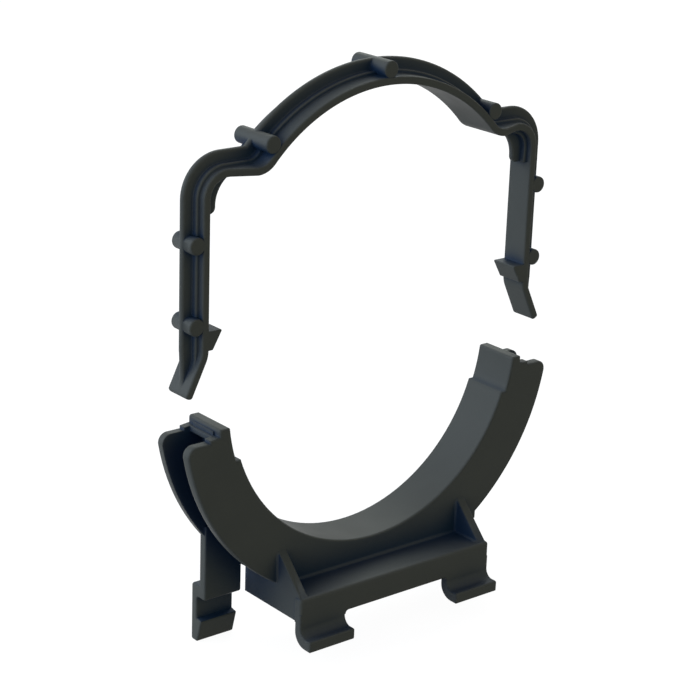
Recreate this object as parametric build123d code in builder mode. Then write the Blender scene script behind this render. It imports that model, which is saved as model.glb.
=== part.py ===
from build123d import *
import math
import os

# Two-piece snap clip that holds a pipe on a slotted plate.
# The saddle carries the pipe and hooks under the plate. The yoke snaps over the pipe onto the saddle's heads.
# Frame: the pipe's axis runs along Y through the origin, X is across the pipe, Z is up, in millimetres.
# The yoke stands lifted straight up off the saddle, the way it is held just before it is pressed home.

# Pipe that the clip is made for
pipe_diameter = 90.0

# Saddle arms: a curved seat wall with a flange on each side, open outwards as a channel
saddle_depth = 13.5
seat_wall = 2.8
flange_wall = 2.5
flange_reach = 14.2
flange_top_drop = 8.35
flange_corner_radius = 2.4
relief_step = 1.35
relief_drop = 14.4
edge_break = 0.45

# Catch heads at the arm tops
head_top_drop = 5.4
head_width = 2.75
head_bead = 0.35
head_edge_radius = 0.6
tread_drop = 7.3
tread_fall = 0.3
tread_run = 2.8
catch_drop = 8.7

# Base under the seat, cored from below
base_length = 61.9
base_overhang = 10.3
base_cover = 6.05
base_height = 6.5
base_wall = 2.35
base_rib = 2.0
base_bays = 4
slab_overlap = 0.4
slab_edge_radius = 0.8
ledge_fillet = 0.8
gusset_height = 9.6
gusset_run = 9.4
gusset_thickness = 2.6
gusset_fillet = 0.5

# Front feet that hook under the plate
plate_gap = 3.4
foot_width = 14.4
foot_toe = 4.0
foot_thickness = 2.9
foot_heel_radius = 4.0
foot_throat_radius = 2.2
foot_root_radius = 1.0

# Rear snap legs
leg_offset = 3.45
leg_span = 11.2
leg_setback = 0.5
leg_jog = 3.3
leg_jog_rise = 2.0
leg_jog_height = 3.3
leg_plate = 2.2
leg_length = 10.5
barb_drop = 3.95
barb_reach = 1.9
barb_nose = 0.8

# Yoke section: a strap with a stepped rib standing on its outer side
bow_relief = 1.2
bow_half_angle = 51.1
strap_thickness = 1.95
root_rise = 1.0
web_rise = 2.85
bow_width = 13.2
root_width = 4.8
web_thickness = 1.7
web_turn_radius = 0.8
corner_radius = 4.9
taper_length = 6.2
soft_edge = 0.3

# Yoke legs
leg_standoff = 5.65
leg_side_clearance = 0.3
lip_clearance = 0.3
catch_clearance = 0.1
tooth_reach = 3.6
tooth_length = 4.8
tooth_nose = 0.4
tooth_toe = 1.1
tip_gap = 1.5
tip_angle = 25.6
tip_overhang = 0.8
tip_bend_radius = 5.0

# Ribs inside the yoke's corners
corner_rib_reach = 3.6
corner_rib_radius = 7.9
corner_rib_sweep = 68.0
corner_rib_straight = 1.9
corner_rib_end_radius = 1.6

# Cross pegs through the rib
peg_diameter = 4.3
bow_peg_height = 3.8
leg_peg_height = 3.5
peg_edge = 0.25
shoulder_peg_angle = 44.2
lower_peg_rise = 1.5
leg_peg_spacing = 19.75

# How far the yoke's bow centre is lifted above the pipe's axis
yoke_lift = 26.5

# Sizes that follow from those above
seat_radius = pipe_diameter / 2
wall_radius = seat_radius + seat_wall
relief_radius = seat_radius + relief_step
flange_radius = seat_radius + flange_reach
channel_width = saddle_depth - 2 * flange_wall
half_depth = saddle_depth / 2
leg_inner = seat_radius + leg_standoff
head_outer = relief_radius + head_width
tread_outer = head_outer + tread_run
lip_face = leg_inner - lip_clearance
base_top = -(seat_radius + base_cover)
base_bottom = base_top - base_height
base_half = base_length / 2
slab_front = -(half_depth + base_overhang)
slab_rear = slab_front + base_wall
slab_half = base_half + slab_overlap
clear = 2 * flange_radius

# Outline of the arms seen along the pipe, with the heads standing on the flange tops
head_points = [
    (seat_radius - relief_step, -head_top_drop),
    (head_outer, -head_top_drop),
    (head_outer, -tread_drop),
    (tread_outer, -tread_drop - tread_fall),
    (tread_outer, -catch_drop),
    (seat_radius - relief_step, -catch_drop),
]
with BuildSketch(Plane.XZ) as arm_outline:
    Circle(flange_radius)
    Circle(seat_radius, mode=Mode.SUBTRACT)
    with Locations((0, clear / 2 - flange_top_drop)):
        Rectangle(2 * clear, clear, mode=Mode.SUBTRACT)
    with Locations((0, base_bottom - clear / 2)):
        Rectangle(base_length, clear, mode=Mode.SUBTRACT)
    fillet(arm_outline.vertices().sort_by(Axis.X)[0], flange_corner_radius)
    fillet(arm_outline.vertices().sort_by(Axis.X)[-1], flange_corner_radius)
    with BuildLine():
        Polyline(*head_points, close=True)
    make_face()
    mirror(about=Plane.YZ)

# Channel between the flanges, stopped by the seat wall and by the lip under each head
lip_points = [
    (seat_radius - relief_step, clear),
    (lip_face, clear),
    (lip_face, -catch_drop),
    (seat_radius - relief_step, -catch_drop),
]
with BuildSketch(Plane.XZ) as channel:
    with Locations((0, -clear / 2)):
        Rectangle(2 * clear, clear)
    Circle(wall_radius, mode=Mode.SUBTRACT)
    with BuildLine():
        Polyline(*lip_points, close=True)
    make_face(mode=Mode.SUBTRACT)
    with BuildLine():
        Polyline(*[(-x, z) for x, z in lip_points], close=True)
    make_face(mode=Mode.SUBTRACT)

# Shallow relief of the seat near the arm tops
with BuildSketch(Plane.XZ) as relief:
    Circle(relief_radius)
    with Locations((0, -relief_drop - clear / 2)):
        Rectangle(2 * clear, clear, mode=Mode.SUBTRACT)

# Bead along the foot of each head's outer face
bead_top = -(head_top_drop + tread_drop) / 2
with BuildSketch(Plane.XZ) as beads:
    with Locations((head_outer, bead_top - tread_drop / 2)):
        Rectangle(2 * head_bead, tread_drop)
    with Locations((head_outer, -tread_drop - tread_drop / 2)):
        Rectangle(2 * tread_run, tread_drop, mode=Mode.SUBTRACT)
    mirror(about=Plane.YZ)

# Arms: outline cut by the relief, edges of both side faces softened, then the channel
with BuildPart() as arms:
    extrude(arm_outline.sketch, amount=half_depth, both=True)
    extrude(relief.sketch, amount=half_depth, both=True, mode=Mode.SUBTRACT)
    fillet(arms.edges().filter_by(Axis.Y).group_by(Axis.Z)[-1], head_edge_radius)
    side_faces = arms.faces().filter_by(Axis.Y).sort_by(Axis.Y)
    chamfer(side_faces[0].edges() + side_faces[-1].edges(), edge_break)
    extrude(channel.sketch, amount=channel_width / 2, both=True, mode=Mode.SUBTRACT)
    extrude(beads.sketch, amount=channel_width / 2, both=True)

# Base core between the flanges, from the underside up into the seat wall
with BuildSketch(Plane.XZ) as base_core:
    with Locations((0, base_bottom / 2)):
        Rectangle(base_length, -base_bottom)
    Circle(seat_radius + seat_wall / 2, mode=Mode.SUBTRACT)

# Base block and the front slab that closes it, seen from above
with BuildSketch(Plane.XY.offset(base_bottom)) as base_plan:
    with Locations((0, (slab_rear - half_depth) / 2)):
        Rectangle(base_length, -half_depth - slab_rear + flange_wall)
with BuildSketch(Plane.XY.offset(base_bottom)) as slab_plan:
    with Locations((0, (slab_front + slab_rear) / 2)):
        Rectangle(2 * slab_half, base_wall)

# Bays cored out of the base from below, in line with the channel and in front of the front flange
bay_pitch = (base_length - 2 * base_wall + base_rib) / base_bays
bay_length = bay_pitch - base_rib
with BuildSketch(Plane.XZ) as rear_bays:
    with Locations((0, base_bottom)):
        with GridLocations(bay_pitch, 1, base_bays, 1):
            Rectangle(bay_length, 2 * (base_height + base_cover))
    Circle(wall_radius, mode=Mode.SUBTRACT)
front_bay_depth = -half_depth - slab_rear
with BuildSketch(Plane.XY.offset(base_bottom)) as front_bays:
    with Locations((0, (slab_rear - half_depth) / 2)):
        with GridLocations(bay_pitch, 1, base_bays, 1):
            Rectangle(bay_length, front_bay_depth)

# Front slab with rounded top and end edges
with BuildPart() as slab:
    extrude(slab_plan.sketch, amount=base_height)
    fillet(slab.edges().filter_by(Axis.Z).group_by(Axis.Y)[0], slab_edge_radius)
    fillet(slab.faces().sort_by(Axis.Z)[-1].edges().group_by(Axis.Y)[0], slab_edge_radius)

# Gusset between the front flange and the base, seen from the side with local x along Y
gusset_points = [
    (-half_depth + flange_wall / 2, base_top + gusset_height),
    (-half_depth, base_top + gusset_height),
    (-half_depth - gusset_run, base_top),
    (-half_depth - gusset_run, base_top - base_wall / 2),
    (-half_depth + flange_wall / 2, base_top - base_wall / 2),
]
with BuildSketch(Plane.YZ) as gusset_side:
    with BuildLine():
        Polyline(*gusset_points, close=True)
    make_face()
with BuildPart() as gusset:
    extrude(gusset_side.sketch, amount=gusset_thickness / 2, both=True)
    slope_edges = gusset.edges().filter_by(
        lambda e: e.center().Y < -half_depth - 1 and e.center().Z > base_top + 1 and e.length > gusset_height
    )
    chamfer(slope_edges, soft_edge)

# Foot: a hook that runs down from the slab and turns forward under the plate
foot_top = base_bottom - plate_gap
foot_bottom = foot_top - foot_thickness
foot_inside = slab_half - foot_width
foot_points = [
    (slab_front, base_bottom + base_wall),
    (slab_front, foot_top),
    (slab_front - foot_toe, foot_top),
    (slab_front - foot_toe, foot_bottom),
    (slab_rear, foot_bottom),
    (slab_rear, base_bottom + base_wall),
]
with BuildSketch(Plane.YZ) as foot_side:
    with BuildLine():
        Polyline(*foot_points, close=True)
    make_face()
    fillet(foot_side.vertices().sort_by_distance((slab_front, foot_top))[0], foot_throat_radius)
    fillet(foot_side.vertices().sort_by_distance((slab_rear, foot_bottom))[0], foot_heel_radius)
    fillet(foot_side.vertices().group_by(Axis.X)[0], edge_break)
with BuildPart() as foot:
    extrude(foot_side.sketch, amount=foot_width / 2, both=True)
    foot_sides = foot.faces().filter_by(Axis.X).sort_by(Axis.X)
    foot_edges = (foot_sides[0].edges() + foot_sides[-1].edges()).filter_by(
        lambda e: e.center().Z < base_bottom + base_wall - 0.01 and e.center().Y < slab_rear - 0.01
    )
    chamfer(foot_edges, soft_edge)

# Rounded inside corner between each foot and the underside of the slab
with BuildSketch(Plane.XZ.offset(-slab_rear)) as foot_roots:
    with Locations((foot_inside, base_bottom - foot_root_radius / 2)):
        Rectangle(2 * foot_root_radius, foot_root_radius)
    with Locations((foot_inside - foot_root_radius, base_bottom - foot_root_radius)):
        Circle(foot_root_radius, mode=Mode.SUBTRACT)
    mirror(about=Plane.YZ)

# Snap leg: hangs from the rear flange, steps back and carries a barb that faces forward
leg_inside = base_half + leg_offset
leg_outside = leg_inside + leg_span
leg_root = -math.sqrt(flange_radius**2 - leg_outside**2) + flange_wall
jog_bottom = base_bottom + leg_jog_rise
jog_top = jog_bottom + leg_jog_height
upper_rear = half_depth - leg_setback
upper_front = upper_rear - flange_wall
lower_rear = upper_rear + leg_jog
lower_front = lower_rear - leg_plate
barb_top = base_bottom - barb_drop
leg_bottom = base_bottom - leg_length
leg_points = [
    (upper_front, leg_root),
    (upper_front, jog_bottom),
    (lower_front, jog_bottom),
    (lower_front, barb_top),
    (lower_front - barb_reach, barb_top - barb_nose / 2),
    (lower_front - barb_reach, barb_top - barb_nose),
    (lower_front - barb_nose / 2, leg_bottom),
    (lower_rear, leg_bottom),
    (lower_rear, jog_top),
    (upper_rear, jog_top),
    (upper_rear, leg_root),
]
with BuildSketch(Plane.YZ) as leg_side:
    with BuildLine():
        Polyline(*leg_points, close=True)
    make_face()
    chamfer(leg_side.vertices().sort_by_distance((lower_rear, jog_top))[0], edge_break)
    chamfer(leg_side.vertices().sort_by_distance((lower_rear, leg_bottom))[0], edge_break)
    chamfer(leg_side.vertices().sort_by_distance((lower_front - barb_nose / 2, leg_bottom))[0], edge_break)
    chamfer(leg_side.vertices().sort_by_distance((upper_rear, jog_top))[0], edge_break)
    chamfer(leg_side.vertices().sort_by_distance((lower_front, jog_bottom))[0], edge_break)
    chamfer(leg_side.vertices().sort_by_distance((upper_front, jog_bottom))[0], edge_break)
with BuildPart() as leg:
    extrude(leg_side.sketch, amount=leg_span / 2, both=True)
    leg_sides = leg.faces().filter_by(Axis.X).sort_by(Axis.X)
    leg_edges = (leg_sides[0].edges() + leg_sides[-1].edges()).filter_by(
        lambda e: e.center().Z < leg_root - 0.01
    )
    chamfer(leg_edges, soft_edge)

# Base with its gussets, and the rounded inside corners where ledge, gussets and front flange meet
gusset_middle = base_half - gusset_thickness / 2
with BuildPart() as base:
    extrude(base_core.sketch, amount=half_depth, both=True)
    extrude(base_plan.sketch, amount=base_height)
    add(slab.part)
    ledge_corner = base.edges().filter_by(Axis.X).sort_by_distance((0, -half_depth, base_top))[0]
    fillet(ledge_corner, ledge_fillet)
    for side in (-1, 1):
        with Locations((side * gusset_middle, 0, 0)):
            add(gusset.part)
    for side in (-1, 1):
        gusset_corners = base.edges().filter_by(
            lambda e: abs(e.center().X - side * (base_half - gusset_thickness)) < 0.01 and e.is_interior
        )
        fillet(gusset_corners, gusset_fillet)

# Saddle: one moulding
with BuildPart() as saddle:
    add(arms.part)
    add(base.part)
    outer_corners = saddle.edges().filter_by(Axis.Z).filter_by(
        lambda e: abs(abs(e.center().X) - base_half) < 0.01 and abs(e.center().Y + half_depth) < 0.01
    )
    fillet(outer_corners.filter_by(lambda e: e.is_interior), gusset_fillet)
    extrude(rear_bays.sketch, amount=channel_width / 2, both=True, mode=Mode.SUBTRACT)
    extrude(front_bays.sketch, amount=base_height - base_wall, mode=Mode.SUBTRACT)
    extrude(foot_roots.sketch, amount=base_wall)
    for side in (-1, 1):
        with Locations((side * (slab_half - foot_width / 2), 0, 0)):
            add(foot.part)
        with Locations((side * (leg_inside + leg_span / 2), 0, 0)):
            add(leg.part)
saddle.part.label = "saddle"

# Yoke: half sections run from the bow's crown down one leg, between two heights above the inner face
yoke_plane = Plane(origin=(0, 0, yoke_lift), x_dir=(1, 0, 0), z_dir=(0, -1, 0))
section_height = strap_thickness + root_rise + web_rise
strap_mid = strap_thickness / 2
root_top = strap_thickness + root_rise
leg_width = channel_width - 2 * leg_side_clearance
bow_radius = seat_radius + bow_relief
shoulder = bow_radius * math.cos(math.radians(bow_half_angle))
turn_radius = section_height + web_turn_radius
turn_z = shoulder + turn_radius
turn_x = math.sqrt((bow_radius + turn_radius) ** 2 - turn_z**2)
turn_angle = math.degrees(math.atan2(turn_z, turn_x))
corner_x = leg_inner - corner_radius
corner_z = shoulder - corner_radius
tooth_top = bow_relief - catch_drop - catch_clearance
bend_z = tooth_top - tooth_length - tip_gap
tip_sine = math.sin(math.radians(tip_angle))
tip_cosine = math.cos(math.radians(tip_angle))
tip_half_tangent = math.tan(math.radians(tip_angle / 2))
tip_length = (section_height + tip_overhang - strap_thickness * tip_cosine) / tip_sine


def bend_point(height):
    return (leg_inner + height, bend_z + height * tip_half_tangent)


def tip_point(height):
    return (
        leg_inner + tip_length * tip_sine + height * tip_cosine,
        bend_z - tip_length * tip_cosine + height * tip_sine,
    )


def rib_foot(height):
    inset = strap_thickness * 0.8
    along = (height - inset * tip_cosine) / tip_sine
    return (leg_inner + height, bend_z + inset * tip_sine - along * tip_cosine)


def half_band(low, high, low_end, high_end):
    with BuildSketch(yoke_plane) as band:
        with BuildLine():
            CenterArc((0, 0), bow_radius + low, turn_angle, 90 - turn_angle)
            CenterArc((turn_x, turn_z), turn_radius - low, 180 + turn_angle, 90 - turn_angle)
            Line((turn_x, shoulder + low), (corner_x, shoulder + low))
            CenterArc((corner_x, corner_z), corner_radius + low, 0, 90)
            Polyline((leg_inner + low, corner_z), *low_end)
            Line(low_end[-1], high_end[-1])
            Polyline((leg_inner + high, corner_z), *high_end)
            CenterArc((corner_x, corner_z), corner_radius + high, 0, 90)
            Line((turn_x, shoulder + high), (corner_x, shoulder + high))
            CenterArc((turn_x, turn_z), turn_radius - high, 180 + turn_angle, 90 - turn_angle)
            CenterArc((0, 0), bow_radius + high, turn_angle, 90 - turn_angle)
            Line((0, bow_radius + high), (0, bow_radius + low))
        make_face()
    return band.sketch_local


strap_half = half_band(
    0, strap_thickness, [bend_point(0), tip_point(0)], [bend_point(strap_thickness), tip_point(strap_thickness)]
)
root_half = half_band(strap_mid, root_top, [rib_foot(strap_mid)], [rib_foot(root_top)])
web_half = half_band(strap_mid, section_height, [rib_foot(strap_mid)], [rib_foot(section_height)])

# Strap, with its rounded bend and tip, narrowed on the shoulders to the width of the legs
with BuildSketch(yoke_plane) as strap_profile:
    add(strap_half)
    fillet(strap_profile.vertices().sort_by_distance(bend_point(0))[0], tip_bend_radius + strap_thickness)
    fillet(strap_profile.vertices().sort_by_distance(bend_point(strap_thickness))[0], tip_bend_radius)
    fillet(strap_profile.vertices().sort_by_distance(tip_point(0))[0], strap_thickness * 0.4)
    fillet(strap_profile.vertices().sort_by_distance(tip_point(strap_thickness))[0], strap_thickness * 0.4)
    mirror(about=Plane.YZ)
plan_points = [
    (0, bow_width / 2),
    (turn_x, bow_width / 2),
    (turn_x + taper_length, leg_width / 2),
    (clear, leg_width / 2),
    (clear, -leg_width / 2),
    (turn_x + taper_length, -leg_width / 2),
    (turn_x, -bow_width / 2),
    (0, -bow_width / 2),
]
with BuildSketch(Plane.XY.offset(yoke_lift)) as strap_plan:
    with BuildLine():
        Polyline(*plan_points, close=True)
    make_face()
    mirror(about=Plane.YZ)
with BuildPart() as strap:
    extrude(strap_profile.sketch, amount=bow_width / 2, both=True)
    extrude(strap_plan.sketch, amount=clear, both=True, mode=Mode.INTERSECT)
    strap_edges = strap.edges().filter_by(
        lambda e: abs(e.center().Y) > leg_width / 2 - 0.01 and e.length > 1.2 * strap_thickness
    )
    chamfer(strap_edges, soft_edge)

# Stepped rib on the strap's outer side
with BuildSketch(yoke_plane) as root_profile:
    add(root_half)
    mirror(about=Plane.YZ)
with BuildSketch(yoke_plane) as web_profile:
    add(web_half)
    mirror(about=Plane.YZ)
with BuildPart() as rib:
    extrude(root_profile.sketch, amount=root_width / 2, both=True)
    extrude(web_profile.sketch, amount=web_thickness / 2, both=True)
    web_edges = rib.edges().filter_by(
        lambda e: abs(abs(e.center().Y) - web_thickness / 2) < 0.01 and e.center().Z > yoke_lift + bend_z
    )
    chamfer(web_edges, soft_edge)

# Catch tooth inside each leg
tooth_points = [
    (leg_inner + strap_mid, tooth_top),
    (leg_inner - tooth_reach, tooth_top),
    (leg_inner - tooth_reach, tooth_top - tooth_nose),
    (leg_inner - tooth_toe, tooth_top - tooth_length),
    (leg_inner + strap_mid, tooth_top - tooth_length),
]
with BuildSketch(yoke_plane) as tooth_profile:
    with BuildLine():
        Polyline(*tooth_points, close=True)
    make_face()
    fillet(tooth_profile.vertices().sort_by_distance(tooth_points[3])[0], edge_break)
    mirror(about=Plane.YZ)

# Rib inside each corner: a thin web with a curved free edge, standing on a low root
rib_edge = leg_inner - corner_rib_reach
rib_arc_x = rib_edge - corner_rib_radius
rib_arc_z = shoulder - corner_rib_radius * math.sin(math.radians(corner_rib_sweep))
rib_end = rib_arc_z - corner_rib_straight
rib_start = rib_arc_x + corner_rib_radius * math.cos(math.radians(corner_rib_sweep))
with BuildSketch(yoke_plane) as corner_web_profile:
    with BuildLine():
        CenterArc((rib_arc_x, rib_arc_z), corner_rib_radius, 0, corner_rib_sweep)
        Line((rib_start, shoulder), (rib_start, shoulder + strap_mid))
        Line((rib_start, shoulder + strap_mid), (corner_x, shoulder + strap_mid))
        CenterArc((corner_x, corner_z), corner_radius + strap_mid, 0, 90)
        Line((leg_inner + strap_mid, corner_z), (leg_inner + strap_mid, rib_end))
        Line((leg_inner + strap_mid, rib_end), (rib_edge, rib_end))
        Line((rib_edge, rib_end), (rib_edge, rib_arc_z))
    make_face()
    fillet(corner_web_profile.vertices().sort_by_distance((rib_edge, rib_end))[0], corner_rib_end_radius)
with BuildSketch(yoke_plane) as corner_root_profile:
    add(corner_web_profile.sketch_local)
    with Locations((corner_x - clear, corner_z)):
        Rectangle(2 * clear, 2 * clear, mode=Mode.SUBTRACT)
    with Locations((corner_x, corner_z - clear)):
        Rectangle(2 * (corner_radius - root_rise), 2 * clear, mode=Mode.SUBTRACT)
    with Locations((corner_x, corner_z)):
        Circle(corner_radius - root_rise, mode=Mode.SUBTRACT)
    mirror(about=Plane.YZ)
with BuildSketch(yoke_plane) as corner_webs_profile:
    add(corner_web_profile.sketch_local)
    mirror(about=Plane.YZ)

# Cross pegs
peg_angle = math.radians(shoulder_peg_angle)
peg_line = bow_radius + bow_peg_height
shoulder_peg = (peg_line * math.sin(peg_angle), peg_line * math.cos(peg_angle))
leg_peg_x = leg_inner + leg_peg_height
lower_peg_z = tooth_top + lower_peg_rise
upper_peg_z = lower_peg_z + leg_peg_spacing
with BuildSketch(yoke_plane) as bow_pegs_profile:
    with Locations((0, peg_line), shoulder_peg, (-shoulder_peg[0], shoulder_peg[1])):
        Circle(peg_diameter / 2)
with BuildSketch(yoke_plane) as leg_pegs_profile:
    with Locations((leg_peg_x, lower_peg_z), (leg_peg_x, upper_peg_z)):
        Circle(peg_diameter / 2)
    mirror(about=Plane.YZ)
with BuildPart() as bow_pegs:
    extrude(bow_pegs_profile.sketch, amount=bow_width / 2, both=True)
    chamfer(bow_pegs.edges().filter_by(GeomType.CIRCLE), peg_edge)
with BuildPart() as leg_pegs:
    extrude(leg_pegs_profile.sketch, amount=leg_width / 2, both=True)
    chamfer(leg_pegs.edges().filter_by(GeomType.CIRCLE), peg_edge)

# Yoke: one moulding
with BuildPart() as yoke:
    add(strap.part)
    add(rib.part)
    extrude(tooth_profile.sketch, amount=leg_width / 2, both=True)
    extrude(corner_webs_profile.sketch, amount=web_thickness / 2, both=True)
    extrude(corner_root_profile.sketch, amount=root_width / 2, both=True)
    add(bow_pegs.part)
    add(leg_pegs.part)
yoke.part.label = "yoke"

os.makedirs("parts", exist_ok=True)
export_step(saddle.part, "parts/saddle.step")
export_step(yoke.part, "parts/yoke.step")
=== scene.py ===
import math

import bmesh
import bpy
from mathutils import Matrix, Vector


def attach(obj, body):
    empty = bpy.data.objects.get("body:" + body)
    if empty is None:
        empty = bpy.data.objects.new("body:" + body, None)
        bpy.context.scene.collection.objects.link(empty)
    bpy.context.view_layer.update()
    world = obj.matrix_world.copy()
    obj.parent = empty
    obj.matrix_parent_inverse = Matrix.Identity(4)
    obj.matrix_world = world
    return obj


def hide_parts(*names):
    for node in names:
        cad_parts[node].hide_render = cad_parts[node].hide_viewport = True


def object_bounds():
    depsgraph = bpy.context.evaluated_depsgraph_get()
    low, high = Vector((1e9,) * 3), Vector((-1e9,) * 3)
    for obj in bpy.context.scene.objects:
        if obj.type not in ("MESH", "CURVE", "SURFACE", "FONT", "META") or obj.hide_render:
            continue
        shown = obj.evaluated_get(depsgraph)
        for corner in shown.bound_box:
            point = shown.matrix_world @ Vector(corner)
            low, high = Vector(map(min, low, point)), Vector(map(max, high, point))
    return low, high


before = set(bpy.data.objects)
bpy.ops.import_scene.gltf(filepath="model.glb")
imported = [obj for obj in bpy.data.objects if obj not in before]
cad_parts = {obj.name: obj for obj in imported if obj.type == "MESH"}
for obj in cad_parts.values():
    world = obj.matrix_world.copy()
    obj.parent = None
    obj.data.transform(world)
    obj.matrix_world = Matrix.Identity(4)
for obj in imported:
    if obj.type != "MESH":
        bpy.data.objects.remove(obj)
cad_low, cad_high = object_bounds()

# Saddle: the lower half of the clip, one injection moulding in a dark plastic such as polyamide.
# Its round seat carries the pipe between two flanged arms, and its cored base stands on a slotted plate.
# The hooked feet go under the plate first, then the two snap legs behind click home.
MERGE_DISTANCE = 2e-6
FLAT_ANGLE = math.radians(0.4)
SHARP_ANGLE = math.radians(50)
FLAT_FACE_WEIGHT = 100


def round_shaded(mesh, name):
    """Piece from a mesh, merged and shaded round over its softened edges and flat on its faces."""
    shell = bmesh.new()
    shell.from_mesh(mesh)
    bmesh.ops.remove_doubles(shell, verts=shell.verts, dist=MERGE_DISTANCE)
    bmesh.ops.dissolve_limit(shell, angle_limit=FLAT_ANGLE, verts=shell.verts, edges=shell.edges)
    for face in shell.faces:
        face.smooth = True
    for edge in shell.edges:
        edge.smooth = len(edge.link_faces) == 2 and edge.calc_face_angle() < SHARP_ANGLE
    shell.to_mesh(mesh)
    shell.free()
    piece = bpy.data.objects.new(name, mesh)
    bpy.context.scene.collection.objects.link(piece)
    weighted = piece.modifiers.new("even_shading", "WEIGHTED_NORMAL")
    weighted.keep_sharp = True
    weighted.weight = FLAT_FACE_WEIGHT
    return piece


DRIFT_SCALE = 90.0
DRIFT_DETAIL = 3.0
DRIFT_LOW = 0.3
DRIFT_HIGH = 0.7
# Ambient occlusion levels at which the painted shade in recesses is full and at which it fades out
FULL_SHADE_AT = 0.4
NO_SHADE_AT = 1.0
OCCLUSION_PROBE_SAMPLES = 8
GRAIN_DETAIL = 2.0
GRAIN_ROUGHNESS = 0.6
GRAIN_STRENGTH = 0.12
GRAIN_DEPTH = 0.0001
RIM_SAMPLES = 6


def moulded_skin_group():
    """Skin of a moulding: colour drift, painted shade in recesses, fine grain, uneven gloss, soft rims."""
    group = bpy.data.node_groups.new("moulded_skin", "ShaderNodeTree")
    for socket in ("Dark", "Light", "Painted Shade"):
        group.interface.new_socket(socket, in_out="INPUT", socket_type="NodeSocketColor")
    for socket in ("Painted Shade Reach", "Rim Radius", "Grain Scale", "Gloss Low", "Gloss High"):
        group.interface.new_socket(socket, in_out="INPUT", socket_type="NodeSocketFloat")
    group.interface.new_socket("Color", in_out="OUTPUT", socket_type="NodeSocketColor")
    group.interface.new_socket("Roughness", in_out="OUTPUT", socket_type="NodeSocketFloat")
    group.interface.new_socket("Normal", in_out="OUTPUT", socket_type="NodeSocketVector")
    nodes = group.nodes
    links = group.links
    inputs = nodes.new("NodeGroupInput")
    outputs = nodes.new("NodeGroupOutput")
    place = nodes.new("ShaderNodeTexCoord")

    drift = nodes.new("ShaderNodeTexNoise")
    drift.inputs["Scale"].default_value = DRIFT_SCALE
    drift.inputs["Detail"].default_value = DRIFT_DETAIL
    links.new(place.outputs["Object"], drift.inputs["Vector"])
    tint = nodes.new("ShaderNodeMix")
    tint.data_type = "RGBA"
    links.new(drift.outputs["Fac"], tint.inputs["Factor"])
    links.new(inputs.outputs["Dark"], tint.inputs["A"])
    links.new(inputs.outputs["Light"], tint.inputs["B"])

    # Painted shade: where ambient occlusion finds the surface hemmed in, the colour is mixed towards a dark
    # blue shade colour
    occlusion_probe = nodes.new("ShaderNodeAmbientOcclusion")
    occlusion_probe.samples = OCCLUSION_PROBE_SAMPLES
    occlusion_probe.only_local = True
    links.new(inputs.outputs["Painted Shade Reach"], occlusion_probe.inputs["Distance"])
    unshaded_share = nodes.new("ShaderNodeMapRange")
    unshaded_share.interpolation_type = "SMOOTHSTEP"
    unshaded_share.inputs["From Min"].default_value = FULL_SHADE_AT
    unshaded_share.inputs["From Max"].default_value = NO_SHADE_AT
    links.new(occlusion_probe.outputs["AO"], unshaded_share.inputs["Value"])
    shade_mix = nodes.new("ShaderNodeMix")
    shade_mix.data_type = "RGBA"
    links.new(unshaded_share.outputs["Result"], shade_mix.inputs["Factor"])
    links.new(inputs.outputs["Painted Shade"], shade_mix.inputs["A"])
    links.new(tint.outputs["Result"], shade_mix.inputs["B"])
    links.new(shade_mix.outputs["Result"], outputs.inputs["Color"])

    grain = nodes.new("ShaderNodeTexNoise")
    grain.inputs["Detail"].default_value = GRAIN_DETAIL
    grain.inputs["Roughness"].default_value = GRAIN_ROUGHNESS
    links.new(place.outputs["Object"], grain.inputs["Vector"])
    links.new(inputs.outputs["Grain Scale"], grain.inputs["Scale"])
    rims = nodes.new("ShaderNodeBevel")
    rims.samples = RIM_SAMPLES
    links.new(inputs.outputs["Rim Radius"], rims.inputs["Radius"])
    bump = nodes.new("ShaderNodeBump")
    bump.inputs["Strength"].default_value = GRAIN_STRENGTH
    bump.inputs["Distance"].default_value = GRAIN_DEPTH
    links.new(grain.outputs["Fac"], bump.inputs["Height"])
    links.new(rims.outputs["Normal"], bump.inputs["Normal"])
    links.new(bump.outputs["Normal"], outputs.inputs["Normal"])

    gloss = nodes.new("ShaderNodeMapRange")
    links.new(drift.outputs["Fac"], gloss.inputs["Value"])
    gloss.inputs["From Min"].default_value = DRIFT_LOW
    gloss.inputs["From Max"].default_value = DRIFT_HIGH
    links.new(inputs.outputs["Gloss Low"], gloss.inputs["To Min"])
    links.new(inputs.outputs["Gloss High"], gloss.inputs["To Max"])
    links.new(gloss.outputs["Result"], outputs.inputs["Roughness"])
    return group


moulded_skin = moulded_skin_group()
PLASTIC_IOR = 1.5
PLASTIC_SHINE = 0.05
# How far the painted shade looks for surrounding surfaces
PAINTED_SHADE_REACH = 0.03


def moulded_plastic(name, dark, light, painted_shade, rim_radius, grain_scale, gloss_low, gloss_high):
    """Dark satin plastic with the shared moulded skin, whose painted shade darkens its recesses."""
    material = bpy.data.materials.new(name)
    material.use_nodes = True
    nodes = material.node_tree.nodes
    links = material.node_tree.links
    shader = nodes["Principled BSDF"]
    shader.inputs["IOR"].default_value = PLASTIC_IOR
    shader.inputs["Specular IOR Level"].default_value = PLASTIC_SHINE
    skin = nodes.new("ShaderNodeGroup")
    skin.node_tree = moulded_skin
    skin.inputs["Dark"].default_value = dark
    skin.inputs["Light"].default_value = light
    # Painted shade colour for the recesses
    skin.inputs["Painted Shade"].default_value = painted_shade
    skin.inputs["Painted Shade Reach"].default_value = PAINTED_SHADE_REACH
    skin.inputs["Rim Radius"].default_value = rim_radius
    skin.inputs["Grain Scale"].default_value = grain_scale
    skin.inputs["Gloss Low"].default_value = gloss_low
    skin.inputs["Gloss High"].default_value = gloss_high
    links.new(skin.outputs["Color"], shader.inputs["Base Color"])
    links.new(skin.outputs["Roughness"], shader.inputs["Roughness"])
    links.new(skin.outputs["Normal"], shader.inputs["Normal"])
    return material


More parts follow.
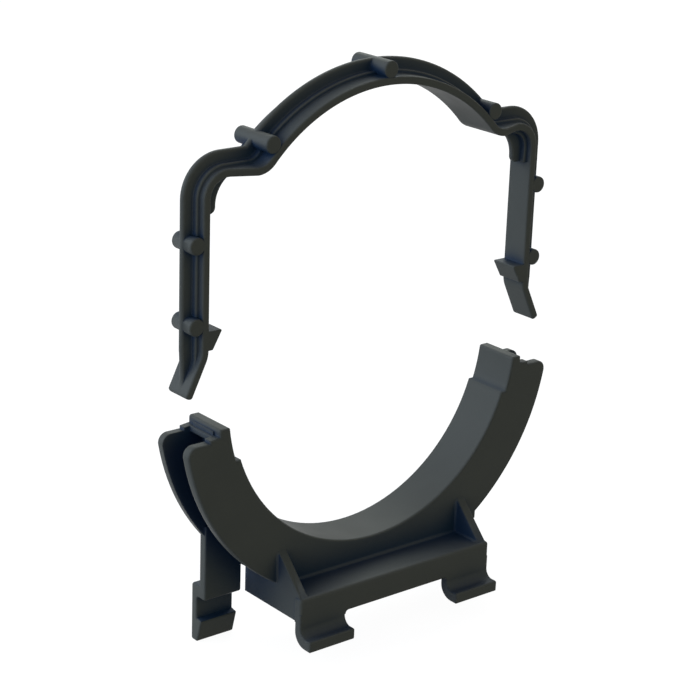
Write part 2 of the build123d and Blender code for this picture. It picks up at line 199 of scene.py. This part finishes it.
saddle = round_shaded(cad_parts["saddle"].data.copy(), "saddle_moulding")
saddle.data.materials.clear()
saddle.data.materials.append(
    moulded_plastic(
        "saddle_plastic",
        dark=(0.045, 0.048, 0.044, 1),
        light=(0.055, 0.058, 0.053, 1),
        # Painted shade colour, a dark blue mixed into recesses
        painted_shade=(0.008, 0.019, 0.040, 1),
        rim_radius=0.0008,
        grain_scale=1400.0,
        gloss_low=0.42,
        gloss_high=0.52,
    )
)
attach(saddle, "saddle")
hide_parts("saddle")

# Yoke: the upper half of the clip, moulded in the same plastic in one shot. A strap runs over the pipe in a
# bow and down in two legs. A stepped rib stands along its back, cross pegs run through the rib, and the
# teeth on the legs spring over the saddle's heads and catch below them.
MM = 0.001
YOKE_LIFT = 26.5
BOW_RADIUS = 46.2
BOW_HALF_ANGLE = math.radians(51.1)
BOW_WIDTH = 13.2
STRAP_THICKNESS = 1.95
ROOT_WIDTH = 4.8
ROOT_RISE = 1.0
WEB_THICKNESS = 1.7
WEB_RISE = 2.85
WEB_TURN_RADIUS = 0.8
STRAP_EDGE_RADIUS = 0.45
ROOT_EDGE_RADIUS = 0.45
WEB_EDGE_RADIUS = 0.75
GROOVE_RADIUS = 0.25
LEG_INNER = 50.65
LEG_WIDTH = 7.9
CORNER_RADIUS = 4.9
TAPER_LENGTH = 6.2
TOOTH_TOP = -7.6
TOOTH_LENGTH = 4.8
TOOTH_REACH = 3.6
TOOTH_NOSE = 0.4
TOOTH_TOE = 1.1
TOOTH_EDGE_RADIUS = 0.25
TIP_GAP = 1.5
TIP_ANGLE = math.radians(25.6)
TIP_BEND_RADIUS = 5.0
TIP_OVERHANG = 0.8
TIP_ROUND = 0.4
RIB_END_BLEND = 1.2
RIB_END_DRAFT = 1.1
CORNER_RIB_REACH = 3.6
CORNER_RIB_RADIUS = 7.9
CORNER_RIB_SWEEP = math.radians(68.0)
CORNER_RIB_STRAIGHT = 1.9
CORNER_RIB_END_RADIUS = 1.6
CORNER_EDGE_RADIUS = 0.5
PEG_RADIUS = 2.15
PEG_EDGE_RADIUS = 0.4
BOW_PEG_HEIGHT = 3.8
BOW_PEG_ANGLE = math.radians(44.2)
LEG_PEG_HEIGHT = 3.5
LOWER_PEG_RISE = 1.5
LEG_PEG_SPACING = 19.75
BOW_PEGS = 3
LEG_PEGS = 4
BOW_STEPS = 30
TURN_STEPS = 14
CORNER_STEPS = 18
BEND_STEPS = 8
TIP_STEPS = 16
TIP_ROUND_STEPS = 5
SECTION_CORNERS = 12
FILLET_STEPS = 5
LEAST_LEAN = 0.05
PEG_RIM_STEPS = 3
PEG_RINGS = 2 * (PEG_RIM_STEPS + 1)
PEG_FACETS = 40

section_height = STRAP_THICKNESS + ROOT_RISE + WEB_RISE
shoulder = BOW_RADIUS * math.cos(BOW_HALF_ANGLE)
turn_radius = section_height + WEB_TURN_RADIUS
turn_z = shoulder + turn_radius
turn_x = math.sqrt((BOW_RADIUS + turn_radius) ** 2 - turn_z**2)
turn_angle = math.atan2(turn_z, turn_x)
corner_x = LEG_INNER - CORNER_RADIUS
corner_z = shoulder - CORNER_RADIUS
bend_z = TOOTH_TOP - TOOTH_LENGTH - TIP_GAP


def arc_points(centre, radius, start, end, steps):
    """Points along an arc with the direction from its centre at each, from one angle to another."""
    points = []
    for step in range(steps + 1):
        angle = start + (end - start) * step / steps
        way = (math.cos(angle), math.sin(angle))
        points.append((centre[0] + radius * way[0], centre[1] + radius * way[1], way[0], way[1]))
    return points


def half_yoke_path():
    """Inner face of the strap from crown to right tip: x, z, outward x, outward z, pinch at the tip."""
    path = []
    bow = arc_points((0, 0), BOW_RADIUS, math.pi / 2, turn_angle, BOW_STEPS)
    for x, z, out_x, out_z in bow:
        path.append((x, z, out_x, out_z, 0))
    turn = arc_points((turn_x, turn_z), turn_radius, math.pi + turn_angle, math.pi * 1.5, TURN_STEPS)
    for x, z, in_x, in_z in turn[1:]:
        path.append((x, z, -in_x, -in_z, 0))
    path.append((turn_x + TAPER_LENGTH, shoulder, 0, 1, 0))
    corner = arc_points((corner_x, corner_z), CORNER_RADIUS, math.pi / 2, 0, CORNER_STEPS)
    for x, z, out_x, out_z in corner:
        path.append((x, z, out_x, out_z, 0))
    bend_radius = TIP_BEND_RADIUS + STRAP_THICKNESS
    bend_reach = bend_radius * math.tan(TIP_ANGLE / 2)
    bend_centre = (LEG_INNER + bend_radius, bend_z + bend_reach)
    bend = arc_points(bend_centre, bend_radius, math.pi, math.pi + TIP_ANGLE, BEND_STEPS)
    for x, z, in_x, in_z in bend:
        path.append((x, z, -in_x, -in_z, 0))
    sine = math.sin(TIP_ANGLE)
    cosine = math.cos(TIP_ANGLE)
    surface = STRAP_THICKNESS * cosine
    tip_length = (section_height + TIP_OVERHANG - surface) / sine
    tip_radius = TIP_ROUND * STRAP_THICKNESS
    flat_length = tip_length - tip_radius - bend_reach
    stops = [(bend_reach + flat_length * step / TIP_STEPS, 0) for step in range(1, TIP_STEPS)]
    for step in range(TIP_ROUND_STEPS + 1):
        angle = math.pi / 2 * step / TIP_ROUND_STEPS
        inset = tip_radius * (1 - math.cos(angle))
        stops.append((tip_length - tip_radius * (1 - math.sin(angle)), 2 * inset / STRAP_THICKNESS))
    for along, pinch in stops:
        path.append((LEG_INNER + along * sine, bend_z - along * cosine, cosine, sine, pinch))
    return path


def yoke_path_mesh():
    """Path of the yoke from tip to tip as a chain of edges, with its outward direction and its pinch."""
    right_half = half_yoke_path()
    left_half = [(-x, z, -out_x, out_z, pinch) for x, z, out_x, out_z, pinch in reversed(right_half[1:])]
    path = left_half + right_half
    mesh = bpy.data.meshes.new("yoke_path")
    points = [(x * MM, 0, (z + YOKE_LIFT) * MM) for x, z, out_x, out_z, pinch in path]
    mesh.from_pydata(points, [(i, i + 1) for i in range(len(points) - 1)], [])
    mesh.attributes.new("outward", "FLOAT_VECTOR", "POINT")
    mesh.attributes.new("tip_pinch", "FLOAT", "POINT")
    for index, (x, z, out_x, out_z, pinch) in enumerate(path):
        mesh.attributes["outward"].data[index].vector = (out_x, 0, out_z)
        mesh.attributes["tip_pinch"].data[index].value = pinch
    return mesh


YOKE_INPUTS = {
    "Bow Width": BOW_WIDTH * MM,
    "Leg Width": LEG_WIDTH * MM,
    "Taper From": turn_x * MM,
    "Taper To": (turn_x + TAPER_LENGTH) * MM,
    "Strap Thickness": STRAP_THICKNESS * MM,
    "Root Width": ROOT_WIDTH * MM,
    "Root Top": (STRAP_THICKNESS + ROOT_RISE) * MM,
    "Web Thickness": WEB_THICKNESS * MM,
    "Web Top": section_height * MM,
    "Strap Edge Radius": STRAP_EDGE_RADIUS * MM,
    "Root Edge Radius": ROOT_EDGE_RADIUS * MM,
    "Web Edge Radius": WEB_EDGE_RADIUS * MM,
    "Groove Radius": GROOVE_RADIUS * MM,
    "Leg Inner": LEG_INNER * MM,
    "Rib End Blend": RIB_END_BLEND * MM,
    "Rib End Draft": RIB_END_DRAFT,
    "Peg Radius": PEG_RADIUS * MM,
    "Peg Edge Radius": PEG_EDGE_RADIUS * MM,
    "Bow Peg Line": (BOW_RADIUS + BOW_PEG_HEIGHT) * MM,
    "Bow Peg Angle": BOW_PEG_ANGLE,
    "Bow Centre": YOKE_LIFT * MM,
    "Leg Peg Line": (LEG_INNER + LEG_PEG_HEIGHT) * MM,
    "Lower Peg": (TOOTH_TOP + LOWER_PEG_RISE + YOKE_LIFT) * MM,
    "Leg Peg Spacing": LEG_PEG_SPACING * MM,
}


def yoke_tree():
    """Stepped section swept along the path, tapered on the shoulders, with its rib ended and pegs added."""
    tree = bpy.data.node_groups.new("yoke_rib_and_pegs", "GeometryNodeTree")
    tree.interface.new_socket("Geometry", in_out="INPUT", socket_type="NodeSocketGeometry")
    for name in YOKE_INPUTS:
        tree.interface.new_socket(name, in_out="INPUT", socket_type="NodeSocketFloat")
    tree.interface.new_socket("Plastic", in_out="INPUT", socket_type="NodeSocketMaterial")
    tree.interface.new_socket("Geometry", in_out="OUTPUT", socket_type="NodeSocketGeometry")
    sizes = tree.nodes.new("NodeGroupInput").outputs
    result = tree.nodes.new("NodeGroupOutput")

    def join(value, socket):
        if isinstance(value, bpy.types.NodeSocket):
            tree.links.new(value, socket)
        else:
            socket.default_value = value

    def node(kind, inputs, **settings):
        made = tree.nodes.new(kind)
        for name, value in settings.items():
            setattr(made, name, value)
        for name, value in inputs.items():
            join(value, made.inputs[name])
        return made

    def calc(operation, first, second=0.0, third=0.0):
        return node("ShaderNodeMath", {0: first, 1: second, 2: third}, operation=operation).outputs[0]

    def pick(index, values):
        switch = tree.nodes.new("GeometryNodeIndexSwitch")
        switch.data_type = "FLOAT"
        while len(switch.index_switch_items) < len(values):
            switch.index_switch_items.new()
        join(index, switch.inputs["Index"])
        for place, value in enumerate(values):
            join(value, switch.inputs[str(place)])
        return switch.outputs[0]

    def vector(x, y, z):
        return node("ShaderNodeCombineXYZ", {"X": x, "Y": y, "Z": z}).outputs[0]

    def stored(name, data_type):
        found = node("GeometryNodeInputNamedAttribute", {"Name": name}, data_type=data_type)
        return found.outputs["Attribute"]

    def store(geometry, name, value, data_type):
        inputs = {"Geometry": geometry, "Name": name, "Value": value}
        return node("GeometryNodeStoreNamedAttribute", inputs, data_type=data_type).outputs["Geometry"]

    index = tree.nodes.new("GeometryNodeInputIndex").outputs["Index"]
    position = tree.nodes.new("GeometryNodeInputPosition").outputs["Position"]

    # Section: twelve corners, up the right side and down the left
    corner = calc("MINIMUM", index, calc("SUBTRACT", SECTION_CORNERS - 1, index))
    widths = ("Bow Width", "Root Width", "Web Thickness")
    half_widths = [calc("MULTIPLY", sizes[name], 0.5) for name in widths]
    half_width = pick(calc("FLOOR", calc("MULTIPLY", corner, 0.5)), half_widths)
    sign = calc("SIGN", calc("SUBTRACT", (SECTION_CORNERS - 1) / 2, index))
    heights = [0.0, sizes["Strap Thickness"], sizes["Root Top"], sizes["Web Top"]]
    height = pick(calc("FLOOR", calc("MULTIPLY", calc("ADD", corner, 1), 0.5)), heights)
    groove = sizes["Groove Radius"]
    strap_edge = sizes["Strap Edge Radius"]
    root_edge = sizes["Root Edge Radius"]
    web_edge = sizes["Web Edge Radius"]
    rounding = pick(corner, [strap_edge, strap_edge, groove, root_edge, groove, web_edge])
    circle = node("GeometryNodeCurvePrimitiveCircle", {"Resolution": SECTION_CORNERS}).outputs["Curve"]
    outline = node("GeometryNodeSetPosition", {
        "Geometry": circle,
        "Position": vector(calc("MULTIPLY", half_width, sign), height, 0.0),
    }).outputs["Geometry"]
    fillet = {"Curve": outline, "Count": FILLET_STEPS, "Radius": rounding}
    filleted = node("GeometryNodeFilletCurve", fillet, mode="POLY")
    spot = node("ShaderNodeSeparateXYZ", {0: position}).outputs
    section = store(filleted.outputs["Curve"], "side", spot["X"], "FLOAT")
    section = store(section, "height", spot["Y"], "FLOAT")

    # Sweep along the path
    path = node("GeometryNodeMeshToCurve", {"Mesh": sizes["Geometry"]}).outputs["Curve"]
    path = store(path, "axis_point", position, "FLOAT_VECTOR")
    swept = node("GeometryNodeCurveToMesh", {
        "Curve": path,
        "Profile Curve": section,
        "Fill Caps": True,
    }).outputs["Mesh"]

    # Place each point: narrow strap on the legs, straight rib at the tips, pinched tip ends
    axis_point = stored("axis_point", "FLOAT_VECTOR")
    outward = stored("outward", "FLOAT_VECTOR")
    side = stored("side", "FLOAT")
    rise = stored("height", "FLOAT")
    across = calc("ABSOLUTE", node("ShaderNodeSeparateXYZ", {0: axis_point}).outputs["X"])
    outward_x = node("ShaderNodeSeparateXYZ", {0: outward}).outputs["X"]
    lean = calc("MAXIMUM", calc("ABSOLUTE", outward_x), LEAST_LEAN)
    narrowing = calc("MULTIPLY", calc("SUBTRACT", sizes["Bow Width"], sizes["Leg Width"]), 0.5)
    inset = node("ShaderNodeMapRange", {
        "Value": across, "From Min": sizes["Taper From"], "From Max": sizes["Taper To"],
        "To Min": 0.0, "To Max": narrowing,
    }).outputs["Result"]
    edge_limit = calc("MULTIPLY", calc("ADD", sizes["Bow Width"], sizes["Root Width"]), 0.25)
    at_edge = calc("GREATER_THAN", calc("ABSOLUTE", side), edge_limit)
    pinch = stored("tip_pinch", "FLOAT")
    middle = calc("MULTIPLY", sizes["Strap Thickness"], 0.5)
    drawn_in = calc("ADD", inset, calc("MULTIPLY", pinch, middle))
    shift = calc("MULTIPLY", calc("MULTIPLY", drawn_in, at_edge), calc("SIGN", side))
    flare = calc("MULTIPLY", calc("SUBTRACT", across, sizes["Leg Inner"]), sizes["Rib End Draft"])
    room = calc("DIVIDE", calc("SUBTRACT", rise, flare), lean)
    blended = calc("SMOOTH_MAX", room, sizes["Strap Thickness"], sizes["Rib End Blend"])
    straight = calc("MINIMUM", rise, blended)
    keep = calc("SUBTRACT", 1.0, pinch)
    lifted = calc("ADD", middle, calc("MULTIPLY", calc("SUBTRACT", straight, middle), keep))
    raised = node("ShaderNodeVectorMath", {0: outward, "Scale": lifted}, operation="SCALE").outputs["Vector"]
    placed = node("ShaderNodeVectorMath", {0: axis_point, 1: raised}, operation="ADD").outputs["Vector"]
    sideways = vector(0.0, calc("SUBTRACT", side, shift), 0.0)
    final = node("ShaderNodeVectorMath", {0: placed, 1: sideways}, operation="ADD").outputs["Vector"]
    body = node("GeometryNodeSetPosition", {"Geometry": swept, "Position": final}).outputs["Geometry"]
    merged = node("GeometryNodeMergeByDistance", {"Geometry": body, "Distance": MERGE_DISTANCE})
    body = merged.outputs["Geometry"]

    # Pegs: round bars with rounded rims, three across the bow and two across each leg
    def peg(width):
        last = PEG_RINGS - 1
        from_end = calc("MINIMUM", index, calc("SUBTRACT", last, index))
        ring = calc("MULTIPLY", from_end, math.pi / 2 / PEG_RIM_STEPS)
        rim = sizes["Peg Edge Radius"]
        set_back = calc("MULTIPLY", rim, calc("SUBTRACT", 1, calc("COSINE", ring)))
        reach = calc("SUBTRACT", calc("MULTIPLY", width, 0.5), set_back)
        taken_off = calc("MULTIPLY", rim, calc("SUBTRACT", 1, calc("SINE", ring)))
        radius = calc("SUBTRACT", sizes["Peg Radius"], taken_off)
        line = node("GeometryNodeMeshLine", {"Count": PEG_RINGS}).outputs["Mesh"]
        bar = node("GeometryNodeMeshToCurve", {"Mesh": line}).outputs["Curve"]
        along = calc("MULTIPLY", reach, calc("SIGN", calc("SUBTRACT", index, last / 2)))
        spaced = node("GeometryNodeSetPosition", {"Geometry": bar, "Position": vector(0.0, along, 0.0)})
        bar = spaced.outputs["Geometry"]
        bar = node("GeometryNodeSetCurveRadius", {"Curve": bar, "Radius": radius}).outputs["Curve"]
        round_section = node("GeometryNodeCurvePrimitiveCircle", {"Resolution": PEG_FACETS, "Radius": 1.0})
        return node("GeometryNodeCurveToMesh", {
            "Curve": bar,
            "Profile Curve": round_section.outputs["Curve"],
            "Scale": tree.nodes.new("GeometryNodeInputRadius").outputs["Radius"],
            "Fill Caps": True,
        }).outputs["Mesh"]

    def set_pegs(count, x, z, width):
        spots = node("GeometryNodePoints", {"Count": count, "Position": vector(x, 0.0, z)})
        inputs = {"Points": spots.outputs["Points"], "Instance": peg(width)}
        return node("GeometryNodeInstanceOnPoints", inputs).outputs["Instances"]

    swing = calc("MULTIPLY", calc("SUBTRACT", index, (BOW_PEGS - 1) / 2), sizes["Bow Peg Angle"])
    bow_x = calc("MULTIPLY", calc("SINE", swing), sizes["Bow Peg Line"])
    bow_z = calc("ADD", calc("MULTIPLY", calc("COSINE", swing), sizes["Bow Peg Line"]), sizes["Bow Centre"])
    bow_pegs = set_pegs(BOW_PEGS, bow_x, bow_z, sizes["Bow Width"])
    hand = calc("SUBTRACT", calc("MULTIPLY", calc("MODULO", index, 2), 2), 1)
    level = calc("FLOOR", calc("MULTIPLY", index, 0.5))
    leg_x = calc("MULTIPLY", hand, sizes["Leg Peg Line"])
    leg_z = calc("ADD", sizes["Lower Peg"], calc("MULTIPLY", level, sizes["Leg Peg Spacing"]))
    leg_pegs = set_pegs(LEG_PEGS, leg_x, leg_z, sizes["Leg Width"])
    pegs = tree.nodes.new("GeometryNodeJoinGeometry")
    tree.links.new(bow_pegs, pegs.inputs[0])
    tree.links.new(leg_pegs, pegs.inputs[0])
    loose_pegs = node("GeometryNodeRealizeInstances", {0: pegs.outputs[0]}).outputs[0]
    union = tree.nodes.new("GeometryNodeMeshBoolean")
    union.operation = "UNION"
    union.solver = "MANIFOLD"
    tree.links.new(body, union.inputs[1])
    tree.links.new(loose_pegs, union.inputs[1])
    whole = node("GeometryNodeRealizeInstances", {0: union.outputs["Mesh"]}).outputs[0]
    clad = node("GeometryNodeSetMaterial", {"Geometry": whole, "Material": sizes["Plastic"]})
    tree.links.new(clad.outputs["Geometry"], result.inputs["Geometry"])
    return tree


PLATE_RIM_ANGLE = math.radians(40)
PLATE_RIM_STEPS = 4


def plate_solid(name, outline, thickness, edge_radius):
    """Flat plate across Y from its outline in X and Z, with rounded edges, and its mirror image."""
    mesh = bpy.data.meshes.new(name)
    shell = bmesh.new()
    for hand in (1, -1):
        corners = []
        for x, z in outline:
            corner = (hand * x * MM, -thickness / 2 * MM, (z + YOKE_LIFT) * MM)
            corners.append(shell.verts.new(corner))
        face = shell.faces.new(corners)
        wall = bmesh.ops.extrude_face_region(shell, geom=[face])["geom"]
        moved = [item for item in wall if isinstance(item, bmesh.types.BMVert)]
        bmesh.ops.translate(shell, verts=moved, vec=(0, thickness * MM, 0))
    bmesh.ops.recalc_face_normals(shell, faces=shell.faces)
    rims = [edge for edge in shell.edges if edge.calc_face_angle() > PLATE_RIM_ANGLE]
    bmesh.ops.bevel(
        shell,
        geom=rims,
        offset=edge_radius * MM,
        segments=PLATE_RIM_STEPS,
        affect="EDGES",
        profile=0.5,
    )
    shell.to_mesh(mesh)
    shell.free()
    plate = bpy.data.objects.new(name, mesh)
    bpy.context.scene.collection.objects.link(plate)
    return plate


FREE_EDGE_STEPS = 14
NOSE_STEPS = 6
BACK_STEPS = 12
strap_mid = STRAP_THICKNESS / 2
tooth_outline = [
    (LEG_INNER + strap_mid, TOOTH_TOP),
    (LEG_INNER - TOOTH_REACH, TOOTH_TOP),
    (LEG_INNER - TOOTH_REACH, TOOTH_TOP - TOOTH_NOSE),
    (LEG_INNER - TOOTH_TOE, TOOTH_TOP - TOOTH_LENGTH),
    (LEG_INNER + strap_mid, TOOTH_TOP - TOOTH_LENGTH),
]
rib_edge = LEG_INNER - CORNER_RIB_REACH
rib_centre = (rib_edge - CORNER_RIB_RADIUS, shoulder - CORNER_RIB_RADIUS * math.sin(CORNER_RIB_SWEEP))
rib_end = rib_centre[1] - CORNER_RIB_STRAIGHT
rib_free = arc_points(rib_centre, CORNER_RIB_RADIUS, CORNER_RIB_SWEEP, 0, FREE_EDGE_STEPS)
end_centre = (rib_edge + CORNER_RIB_END_RADIUS, rib_end + CORNER_RIB_END_RADIUS)
rib_nose = arc_points(end_centre, CORNER_RIB_END_RADIUS, math.pi, math.pi * 1.5, NOSE_STEPS)
rib_back = arc_points((corner_x, corner_z), CORNER_RADIUS + strap_mid, 0, math.pi / 2, BACK_STEPS)
web_outline = [(x, z) for x, z, out_x, out_z in rib_free + rib_nose]
web_outline += [(LEG_INNER + strap_mid, rib_end)]
web_outline += [(x, z) for x, z, out_x, out_z in rib_back]
web_outline += [(rib_free[0][0], shoulder + strap_mid)]
root_front = arc_points((corner_x, corner_z), CORNER_RADIUS - ROOT_RISE, math.pi / 2, 0, BACK_STEPS)
root_outline = [(x, z) for x, z, out_x, out_z in root_front]
root_outline += [(LEG_INNER - ROOT_RISE, rib_end), (LEG_INNER + strap_mid, rib_end)]
root_outline += [(x, z) for x, z, out_x, out_z in rib_back]

yoke_plastic = moulded_plastic(
    "yoke_plastic",
    dark=(0.045, 0.048, 0.044, 1),
    light=(0.055, 0.058, 0.053, 1),
    # Painted shade colour, a dark blue mixed into recesses
    painted_shade=(0.008, 0.019, 0.040, 1),
    rim_radius=0.0008,
    grain_scale=1400.0,
    gloss_low=0.42,
    gloss_high=0.52,
)
rib_sweep = bpy.data.objects.new("yoke_sweep", yoke_path_mesh())
bpy.context.scene.collection.objects.link(rib_sweep)
growth = rib_sweep.modifiers.new("rib_and_pegs", "NODES")
growth.node_group = yoke_tree()
for item in growth.node_group.interface.items_tree:
    if item.in_out == "INPUT" and item.name in YOKE_INPUTS:
        growth[item.identifier] = YOKE_INPUTS[item.name]
    if item.in_out == "INPUT" and item.name == "Plastic":
        growth[item.identifier] = yoke_plastic
plates = [
    plate_solid("teeth", tooth_outline, LEG_WIDTH, TOOTH_EDGE_RADIUS),
    plate_solid("corner_webs", web_outline, WEB_THICKNESS, CORNER_EDGE_RADIUS),
    plate_solid("corner_roots", root_outline, ROOT_WIDTH, TOOTH_EDGE_RADIUS),
]
for plate in plates:
    weld = rib_sweep.modifiers.new("weld_" + plate.name, "BOOLEAN")
    weld.operation = "UNION"
    weld.solver = "MANIFOLD"
    weld.object = plate
shape = bpy.data.meshes.new_from_object(rib_sweep.evaluated_get(bpy.context.evaluated_depsgraph_get()))
shape.name = "yoke_moulding"
rib_sweep.modifiers.clear()
for spare in plates + [rib_sweep]:
    bpy.data.objects.remove(spare)
yoke = round_shaded(shape, "yoke_moulding")
yoke.data.materials.clear()
yoke.data.materials.append(yoke_plastic)
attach(yoke, "yoke")
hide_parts("yoke")

# Floor: a sheet of pale paper under the saddle's snap legs. The camera and reflections see it as white with
# the clip's soft shadow, and it throws little light back up.
FLOOR_HALF = 1.5
PAPER_SEEN = (0.95, 0.95, 0.95, 1)
PAPER_BOUNCE = (0.22, 0.22, 0.22, 1)
PAPER_GLOW_SHARE = 0.9
PAPER_GLOW = 1.06
PAPER_ROUGHNESS = 0.9


def seen_or_reflected(tree):
    """1 on rays from the camera, a reflection or clear material, and 0 on rays that only gather light."""
    sight = tree.nodes.new("ShaderNodeLightPath")
    seen = sight.outputs["Is Camera Ray"]
    for ray in ("Is Glossy Ray", "Is Transmission Ray"):
        either = tree.nodes.new("ShaderNodeMath")
        either.operation = "MAXIMUM"
        tree.links.new(seen, either.inputs[0])
        tree.links.new(sight.outputs[ray], either.inputs[1])
        seen = either.outputs["Value"]
    return seen


floor_signs = ((-1, -1), (1, -1), (1, 1), (-1, 1))
floor_corners = [(x * FLOOR_HALF, y * FLOOR_HALF, cad_low.z) for x, y in floor_signs]
floor_mesh = bpy.data.meshes.new("floor")
floor_mesh.from_pydata(floor_corners, [], [(0, 1, 2, 3)])
floor = bpy.data.objects.new("floor", floor_mesh)
bpy.context.scene.collection.objects.link(floor)
paper = bpy.data.materials.new("white_paper")
paper.use_nodes = True
paper_nodes = paper.node_tree.nodes
paper_links = paper.node_tree.links
paper_shader = paper_nodes["Principled BSDF"]
paper_shader.inputs["Roughness"].default_value = PAPER_ROUGHNESS
paper_in_view = seen_or_reflected(paper.node_tree)
paper_colour = paper_nodes.new("ShaderNodeMix")
paper_colour.data_type = "RGBA"
paper_colour.inputs["A"].default_value = PAPER_BOUNCE
paper_colour.inputs["B"].default_value = PAPER_SEEN
paper_share = paper_nodes.new("ShaderNodeMath")
paper_share.operation = "MULTIPLY"
paper_share.inputs[1].default_value = PAPER_GLOW_SHARE
paper_glow = paper_nodes.new("ShaderNodeEmission")
paper_glow.inputs["Strength"].default_value = PAPER_GLOW
paper_mix = paper_nodes.new("ShaderNodeMixShader")
paper_links.new(paper_in_view, paper_colour.inputs["Factor"])
paper_links.new(paper_in_view, paper_share.inputs[0])
paper_links.new(paper_colour.outputs["Result"], paper_shader.inputs["Base Color"])
paper_links.new(paper_share.outputs["Value"], paper_mix.inputs["Fac"])
paper_links.new(paper_shader.outputs["BSDF"], paper_mix.inputs[1])
paper_links.new(paper_glow.outputs["Emission"], paper_mix.inputs[2])
paper_links.new(paper_mix.outputs["Shader"], paper_nodes["Material Output"].inputs["Surface"])
floor_mesh.materials.append(paper)

# World: an even room whose light has a faint lilac cast.
# The camera and reflections see it as white.
ROOM_LIGHT = (0.95, 0.87, 1.0, 1)
ROOM_STRENGTH = 0.41
ROOM_SEEN = (1, 1, 1, 1)
world = bpy.data.worlds.new("white_room")
bpy.context.scene.world = world
world.use_nodes = True
world_nodes = world.node_tree.nodes
world_links = world.node_tree.links
room = world_nodes["Background"]
room.inputs["Color"].default_value = ROOM_LIGHT
room.inputs["Strength"].default_value = ROOM_STRENGTH
backdrop = world_nodes.new("ShaderNodeBackground")
backdrop.inputs["Color"].default_value = ROOM_SEEN
room_mix = world_nodes.new("ShaderNodeMixShader")
world_links.new(seen_or_reflected(world.node_tree), room_mix.inputs["Fac"])
world_links.new(room.outputs["Background"], room_mix.inputs[1])
world_links.new(backdrop.outputs["Background"], room_mix.inputs[2])
world_links.new(room_mix.outputs["Shader"], world_nodes["World Output"].inputs["Surface"])

# Lamps: cool soft boxes on the left, behind and above, an almost white one above on the right, a weak
# yellow one in front and a faint cool one on the right.
LAMP_SIZE = 0.8


def soft_box(name, place, power, colour):
    """Round soft box that faces the pipe's axis."""
    lamp = bpy.data.lights.new(name, "AREA")
    lamp.shape = "DISK"
    lamp.size = LAMP_SIZE
    lamp.energy = power
    lamp.color = colour
    holder = bpy.data.objects.new(name, lamp)
    bpy.context.scene.collection.objects.link(holder)
    holder.location = place
    holder.rotation_euler = (-Vector(place)).to_track_quat("-Z", "Y").to_euler()


soft_box("left_box", (-0.98, 0.0, 0.17), 6.8, (0.65, 0.80, 1.0))
soft_box("back_left_box", (-0.70, 0.70, 0.17), 5.0, (0.86, 0.93, 1.0))
soft_box("top_left_box", (-0.54, 0.54, 0.64), 5.6, (0.76, 0.88, 1.0))
soft_box("top_right_box", (0.54, 0.54, 0.64), 5.0, (0.92, 1.0, 0.95))
soft_box("front_box", (0.0, -0.98, 0.17), 1.8, (0.92, 1.0, 0.40))
soft_box("right_box", (0.70, -0.70, 0.17), 0.2, (0.51, 0.93, 1.0))

# Camera: the photograph's place and lens, in metres in the clip's own frame.
LENS = 107.32
SENSOR = 36.0
LENS_SHIFT_X = -0.0005
LENS_SHIFT_Y = -0.0001
NEAR_LIMIT = 0.01
EYE = (-0.32022, -0.38256, 0.17588)
FORWARD = Vector((0.6017, 0.7289, -0.3266)).normalized()
UP_HINT = Vector((0.1800, 0.2746, 0.9446))
right = FORWARD.cross(UP_HINT).normalized()
up = right.cross(FORWARD)
lens = bpy.data.cameras.new("camera")
lens.lens = LENS
lens.sensor_width = SENSOR
lens.sensor_fit = "HORIZONTAL"
lens.clip_start = NEAR_LIMIT
lens.shift_x = LENS_SHIFT_X
lens.shift_y = LENS_SHIFT_Y
camera = bpy.data.objects.new("camera", lens)
bpy.context.scene.collection.objects.link(camera)
camera.matrix_world = Matrix.Translation(EYE) @ Matrix((right, up, -FORWARD)).transposed().to_4x4()
bpy.context.scene.camera = camera

# View
bpy.context.scene.view_settings.view_transform = "Standard"
